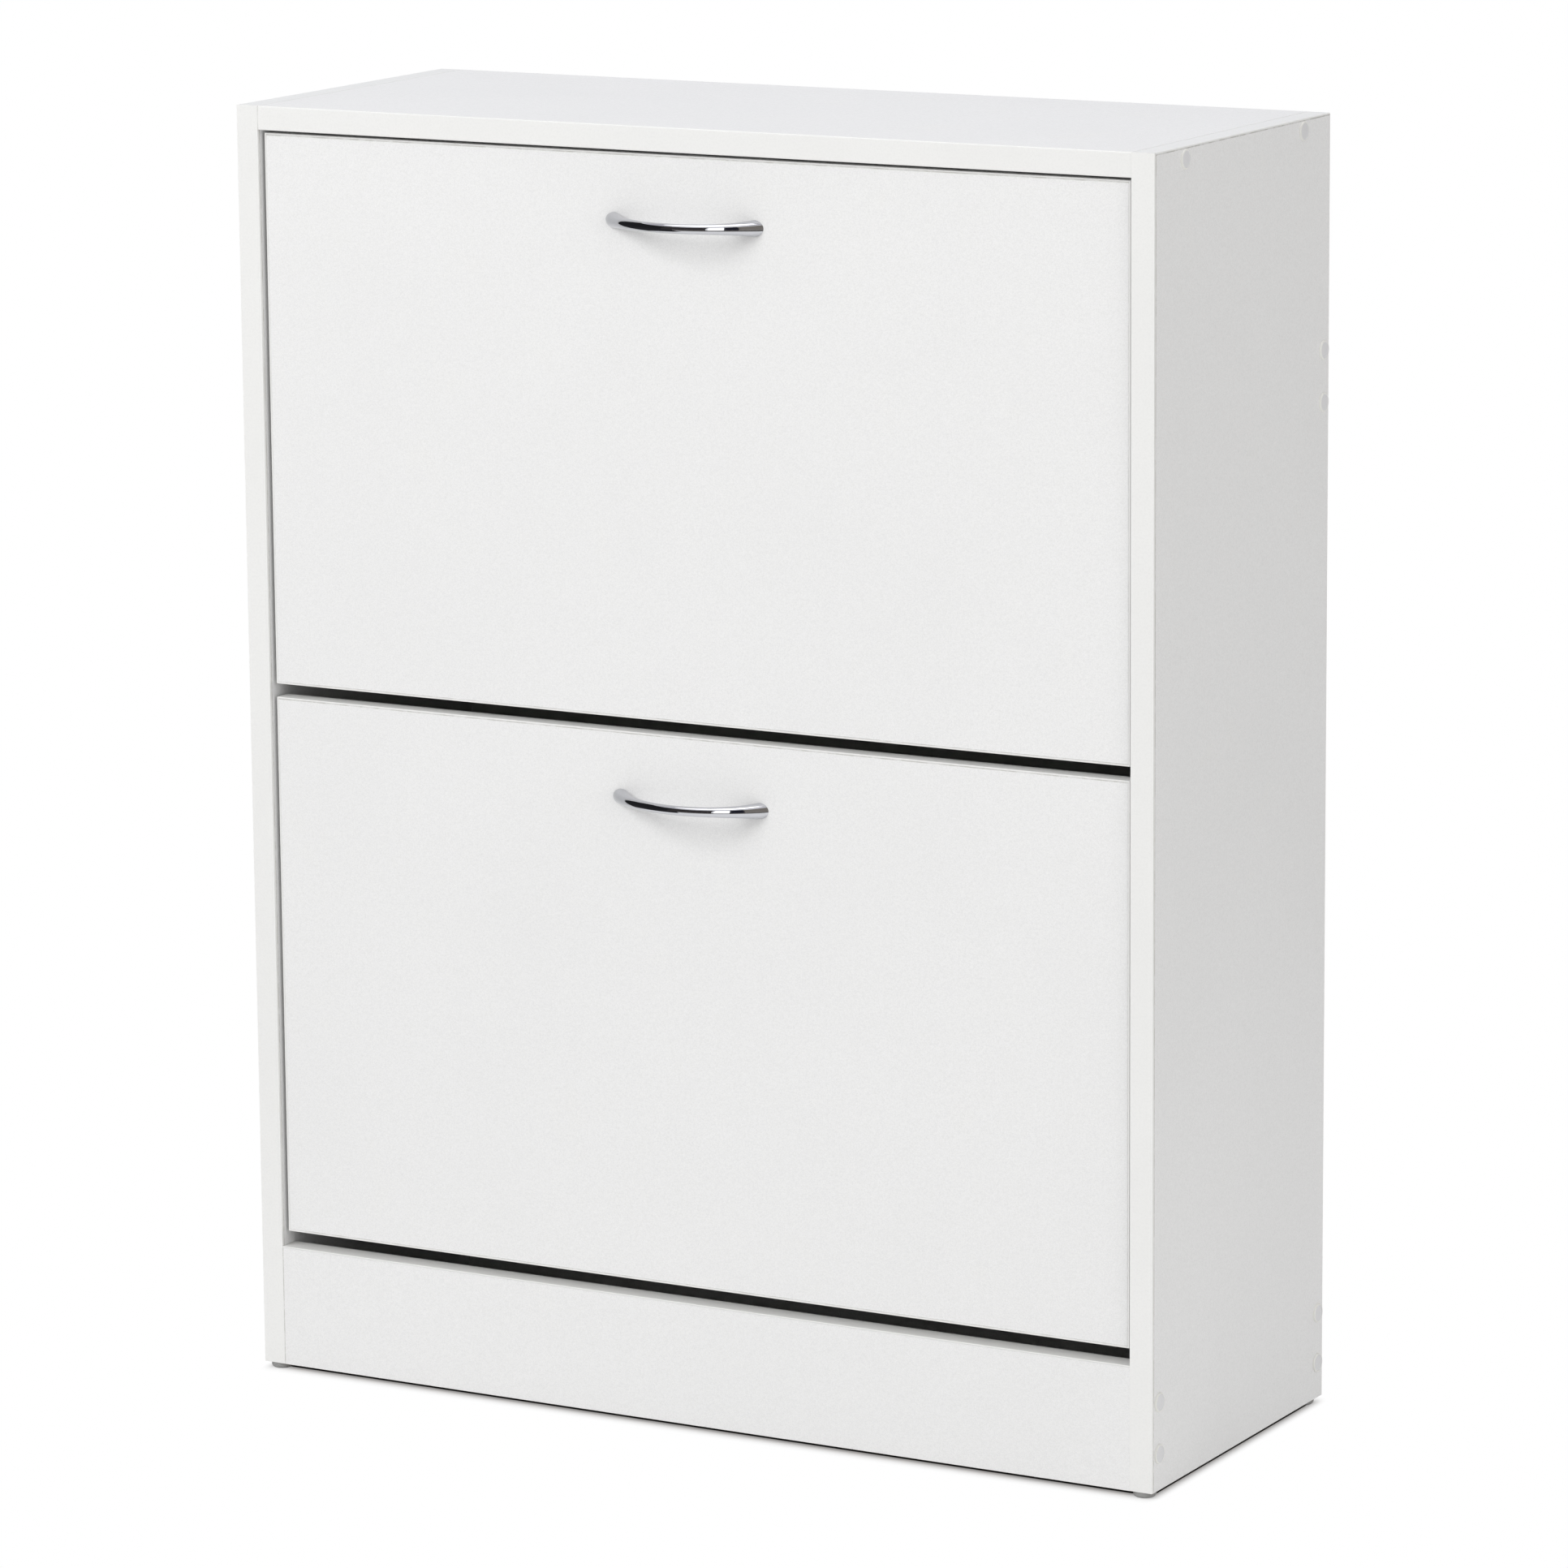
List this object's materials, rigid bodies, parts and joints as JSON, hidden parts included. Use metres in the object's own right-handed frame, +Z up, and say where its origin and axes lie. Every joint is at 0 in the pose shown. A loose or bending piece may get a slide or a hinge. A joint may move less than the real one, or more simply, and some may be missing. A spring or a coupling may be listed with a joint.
{
  "type": "shoe cabinet",
  "caption": "Slim white tilt-out shoe cabinet with stacked flap doors, chrome bow handles, a plinth, and double-row shoe racks that swing out with the flaps.",
  "frame": {"origin": "middle of the footprint of the whole closed cabinet, handles included, on the floor", "axes": "+X to the right seen from the front, +Y to the back, +Z up"},
  "size_m": [0.6324, 0.265, 0.807],
  "materials": {
    "white_board": "white melamine foil on chipboard, fine satin texture",
    "edge_banding": "white plastic edge banding, satin",
    "hardboard": "hardboard lacquered white on its face",
    "white_plastic": "white moulded plastic",
    "cap_plastic": "light grey-white moulded plastic",
    "glide_plastic": "grey moulded plastic",
    "rack_plastic": "white moulded plastic with ribs",
    "zinc_steel": "bright zinc plating",
    "chrome": "polished chrome plating"
  },
  "bodies": {
    "cabinet": {"side_panel_left": "white_board", "side_panel_right": "white_board", "side_front_band_left": "edge_banding", "side_front_band_right": "edge_banding", "side_top_band_left": "edge_banding", "side_top_band_right": "edge_banding", "top_panel": "white_board", "top_front_band": "edge_banding", "plinth_panel": "white_board", "plinth_top_band": "edge_banding", "rear_rail_lower": "white_board", "rear_rail_upper": "white_board", "back_sheet_lower": "hardboard", "back_sheet_upper": "hardboard", "back_joint_strip": "white_plastic", "back_nails": "zinc_steel", "carcass_screws": "zinc_steel", "screw_caps": "cap_plastic", "foot_glide_front_left": "glide_plastic", "foot_glide_front_right": "glide_plastic", "foot_glide_rear_left": "glide_plastic", "foot_glide_rear_right": "glide_plastic", "glide_nails": "zinc_steel", "pivot_plugs": "white_plastic", "stop_pins": "zinc_steel"},
    "upper_flap": {"upper_door_panel": "white_board", "upper_door_band": "edge_banding", "upper_handle": "chrome", "upper_handle_screws": "zinc_steel", "upper_rack_side_left": "rack_plastic", "upper_rack_side_right": "rack_plastic", "upper_rack_floor": "hardboard", "upper_rack_divider": "hardboard", "upper_rack_shelf": "hardboard", "upper_rack_wall": "hardboard", "upper_rack_screws": "zinc_steel"},
    "lower_flap": {"lower_door_panel": "white_board", "lower_door_band": "edge_banding", "lower_handle": "chrome", "lower_handle_screws": "zinc_steel", "lower_rack_side_left": "rack_plastic", "lower_rack_side_right": "rack_plastic", "lower_rack_floor": "hardboard", "lower_rack_divider": "hardboard", "lower_rack_shelf": "hardboard", "lower_rack_wall": "hardboard", "lower_rack_screws": "zinc_steel"}
  },
  "joints": [
    {"name": "upper_flap_hinge", "type": "hinge", "parent": "cabinet", "child": "upper_flap", "pos_m": [0, -0.0855, 0.47475], "axis": [1, 0, 0], "range_deg": [0, 45]},
    {"name": "lower_flap_hinge", "type": "hinge", "parent": "cabinet", "child": "lower_flap", "pos_m": [0, -0.0855, 0.121], "axis": [1, 0, 0], "range_deg": [0, 45]}
  ]
}
